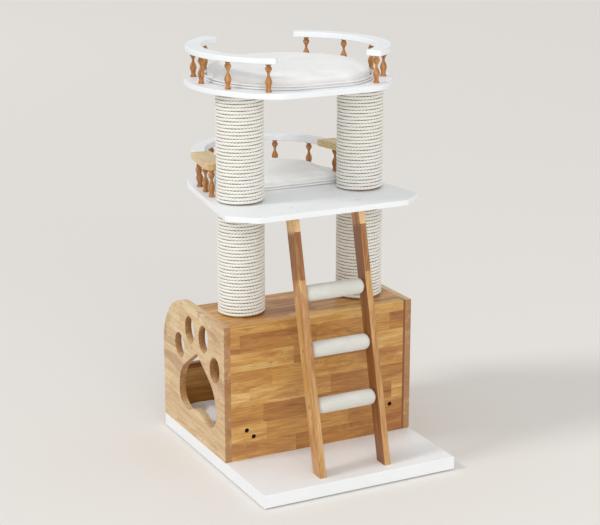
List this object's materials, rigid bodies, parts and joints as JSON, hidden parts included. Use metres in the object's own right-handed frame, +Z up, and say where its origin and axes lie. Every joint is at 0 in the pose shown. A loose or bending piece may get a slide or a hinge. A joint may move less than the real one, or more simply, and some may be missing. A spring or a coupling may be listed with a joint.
{
  "type": "cat tree",
  "caption": "Wooden cat tree: house with paw-shaped doorway, ladder, rope-wrapped posts, and round-backed beds with turned balusters and cushions.",
  "frame": {"origin": "on the floor, under the middle of the whole object's outline", "axes": "+Z up, +Y towards the back, -Y the side with the ladder, +X to the right seen from the ladder"},
  "size_m": [0.4504, 0.615, 0.884],
  "materials": {
    "painted_board": "satin white paint on board",
    "rubberwood": "clear satin lacquer on finger-jointed rubberwood",
    "pale_wood": "clear satin lacquer on pale rubberwood",
    "turned_beech": "orange-brown stain and satin lacquer",
    "cotton_rope": "off-white twisted rope",
    "plush": "white short-pile plush",
    "card_tube": "wound paper tube",
    "zinc_steel": "bright zinc plate",
    "black_steel": "black oxide",
    "pad_rubber": "matte black rubber"
  },
  "bodies": {
    "frame": {"back_panel": "rubberwood", "base_board": "painted_board", "base_screws": "zinc_steel", "corner_block_bolts": "black_steel", "corner_blocks": "rubberwood", "front_panel": "rubberwood", "house_dowels": "rubberwood", "ladder_left_stringer": "rubberwood", "ladder_right_stringer": "rubberwood", "left_end_panel": "rubberwood", "lower_left_rope_wrap": "cotton_rope", "lower_right_rope_wrap": "cotton_rope", "middle_back_baluster_1": "turned_beech", "middle_back_baluster_2": "turned_beech", "middle_back_baluster_3": "turned_beech", "middle_back_baluster_4": "turned_beech", "middle_back_baluster_5": "turned_beech", "middle_back_rail": "painted_board", "middle_left_arm_baluster_1": "turned_beech", "middle_left_arm_baluster_2": "turned_beech", "middle_left_arm_baluster_3": "turned_beech", "middle_left_arm_rest": "pale_wood", "middle_platform": "painted_board", "middle_right_arm_baluster_1": "turned_beech", "middle_right_arm_baluster_2": "turned_beech", "middle_right_arm_baluster_3": "turned_beech", "middle_right_arm_rest": "pale_wood", "non_slip_pads": "pad_rubber", "platform_screws": "zinc_steel", "post_bolts": "zinc_steel", "post_end_plugs": "rubberwood", "post_insert_nuts": "zinc_steel", "post_tubes": "card_tube", "right_end_panel": "rubberwood", "rung_cover_1": "plush", "rung_cover_2": "plush", "rung_cover_3": "plush", "rung_dowels": "rubberwood", "rung_screws": "zinc_steel", "top_board": "rubberwood", "top_left_baluster_1": "turned_beech", "top_left_baluster_2": "turned_beech", "top_left_baluster_3": "turned_beech", "top_left_baluster_4": "turned_beech", "top_left_baluster_5": "turned_beech", "top_left_rail": "painted_board", "top_platform": "painted_board", "top_right_baluster_1": "turned_beech", "top_right_baluster_2": "turned_beech", "top_right_baluster_3": "turned_beech", "top_right_baluster_4": "turned_beech", "top_right_baluster_5": "turned_beech", "top_right_rail": "painted_board", "upper_left_rope_wrap": "cotton_rope", "upper_right_rope_wrap": "cotton_rope"},
    "top_cushion_body": {"top_cushion": "plush"},
    "middle_cushion_body": {"middle_cushion": "plush"},
    "house_cushion_body": {"house_cushion": "plush"}
  },
  "joints": [
    {"name": "top_cushion_lift", "type": "slide", "parent": "frame", "child": "top_cushion_body", "axis": [0, 0, 1], "range_m": [0, 0.1]},
    {"name": "middle_cushion_lift", "type": "slide", "parent": "frame", "child": "middle_cushion_body", "axis": [0, 0, 1], "range_m": [0, 0.1]},
    {"name": "house_cushion_lift", "type": "slide", "parent": "frame", "child": "house_cushion_body", "axis": [0, 0, 1], "range_m": [0, 0.12]}
  ]
}
